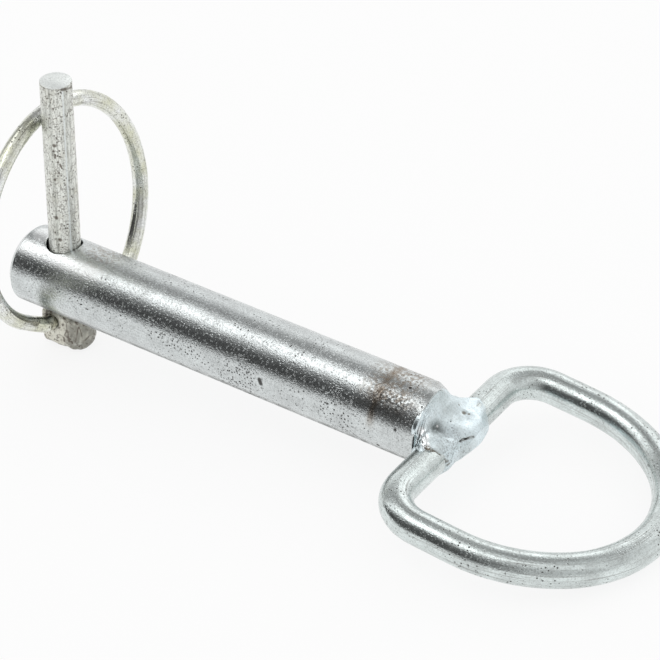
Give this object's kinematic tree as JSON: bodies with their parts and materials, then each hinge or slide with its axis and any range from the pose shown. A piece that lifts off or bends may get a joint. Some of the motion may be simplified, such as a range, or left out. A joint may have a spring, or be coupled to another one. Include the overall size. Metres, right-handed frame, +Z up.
{
  "type": "lynch pin with d-handle hitch pin",
  "caption": "Round cross-drilled hitch pin with a welded D-handle, locked by a lynch pin whose spring ring folds over its free end.",
  "frame": {"origin": "the floor under the middle of the whole object, as it lies at rest on the lynch pin's head and the far end of the handle", "axes": "+Z up; +X from the round bar's free end, which the lynch pin crosses, towards the D-handle; the bar slopes down towards +X by about 3.5 degrees"},
  "size_m": [0.1836, 0.0706, 0.0776],
  "materials": {
    "bar_zinc": "bright zinc plating, grainy, with small dark pits",
    "rod_zinc": "bright zinc plating on drawn rod, with dark draw lines",
    "weld_zinc": "plated weld bead, smooth and lumpy",
    "lynch_zinc": "dull zinc plating on a forging",
    "wire_zinc": "zinc plated spring wire, slightly yellow"
  },
  "bodies": {
    "hitch_pin": {"pin_bar": "bar_zinc", "d_handle": "rod_zinc", "weld_bead": "weld_zinc"},
    "locking_pin": {"lynch_pin": "lynch_zinc"},
    "ring": {"spring_ring": "wire_zinc"}
  },
  "joints": [
    {"name": "lynch_pin_slide", "type": "slide", "parent": "hitch_pin", "child": "locking_pin", "axis": [-0.0617, 0, -0.9981], "range_m": [0, 0.031]},
    {"name": "ring_swing", "type": "hinge", "parent": "locking_pin", "child": "ring", "pos_m": [-0.08295, 0, 0.00782], "axis": [0, -1, 0], "range_deg": [0, 180]}
  ]
}
